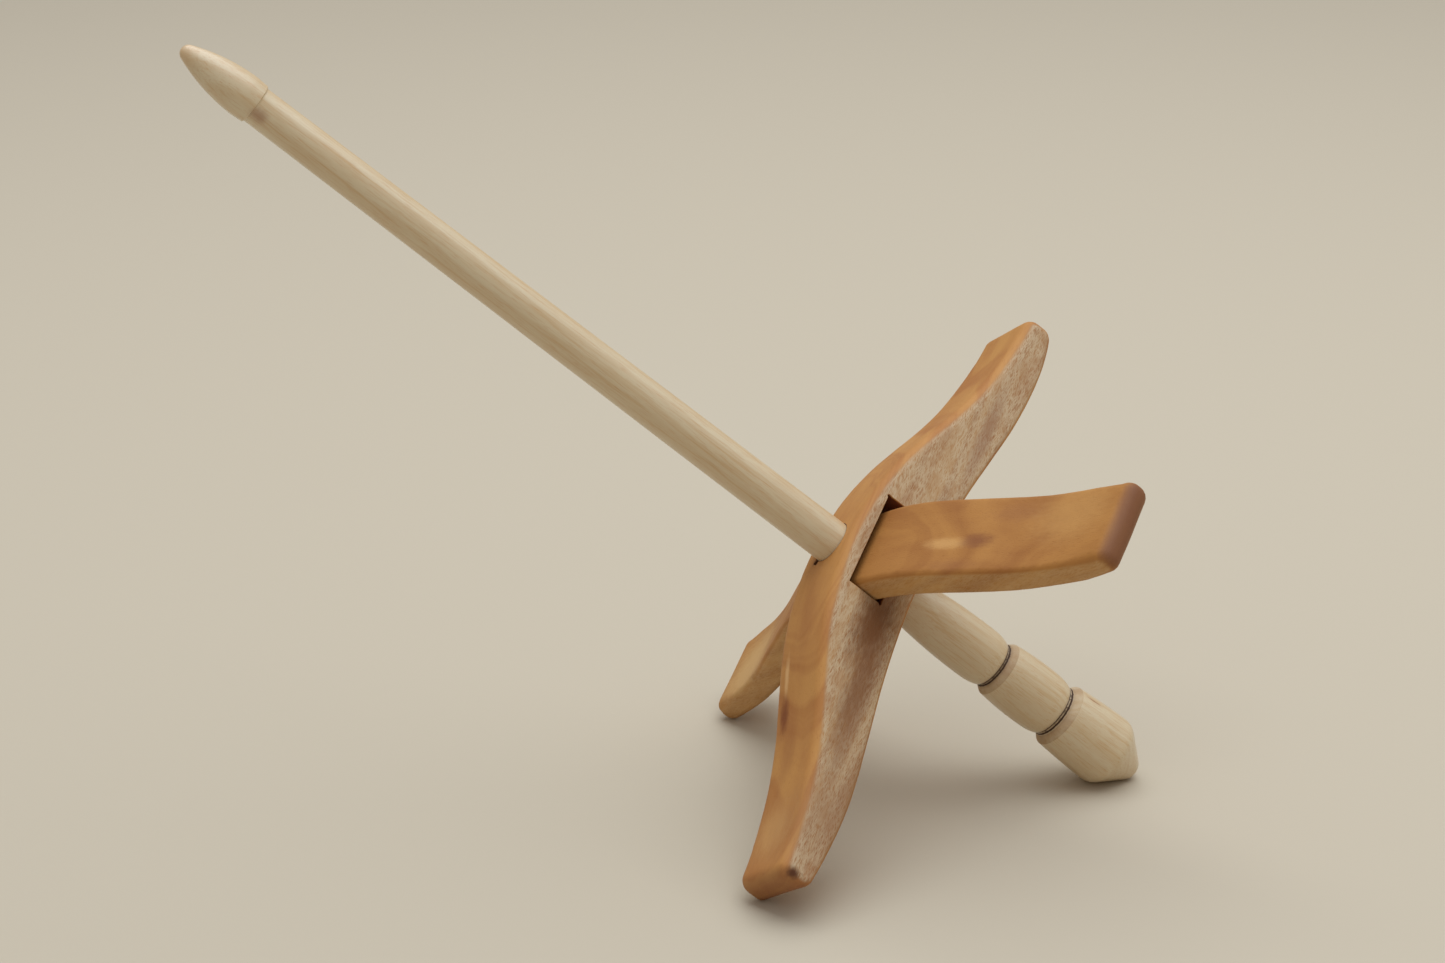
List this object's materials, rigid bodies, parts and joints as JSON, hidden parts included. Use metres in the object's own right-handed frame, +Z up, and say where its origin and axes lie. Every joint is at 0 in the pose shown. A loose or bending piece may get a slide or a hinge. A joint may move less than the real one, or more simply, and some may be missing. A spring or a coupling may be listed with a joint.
{
  "type": "turkish drop spindle",
  "caption": "Turkish drop spindle: a turned, tapered shaft with a bulb tip and ringed finial, through two bowed wooden arms crossed one inside the other.",
  "frame": {"origin": "on the table, under the middle of the bounding box of the spindle as it lies on the shaft's cone end and one tip of each arm", "axes": "+Z up from the table; the shaft's axis lies in the XZ plane and leans towards -X, bulb end up; +Y to the back"},
  "size_m": [0.1632, 0.0984, 0.1415],
  "materials": {
    "shaft_maple": "fine-sanded pale maple, thin oil, two burned rings",
    "outer_arm_cherry": "hand-sanded oiled cherry with ray flecks on its sides",
    "inner_arm_cherry": "hand-sanded oiled cherry"
  },
  "bodies": {
    "shaft": {"shaft": "shaft_maple"},
    "outer_arm": {"outer_arm": "outer_arm_cherry"},
    "inner_arm": {"inner_arm": "inner_arm_cherry"}
  },
  "joints": [
    {"name": "arms_slide", "type": "slide", "parent": "shaft", "child": "outer_arm", "axis": [-0.757, 0, 0.6534], "range_m": [0, 0.16]},
    {"name": "inner_arm_swivel", "type": "hinge", "parent": "outer_arm", "child": "inner_arm", "pos_m": [0.03035, 0, 0.04465], "axis": [-0.757, 0, 0.6534], "range_deg": [-2, 2]}
  ]
}
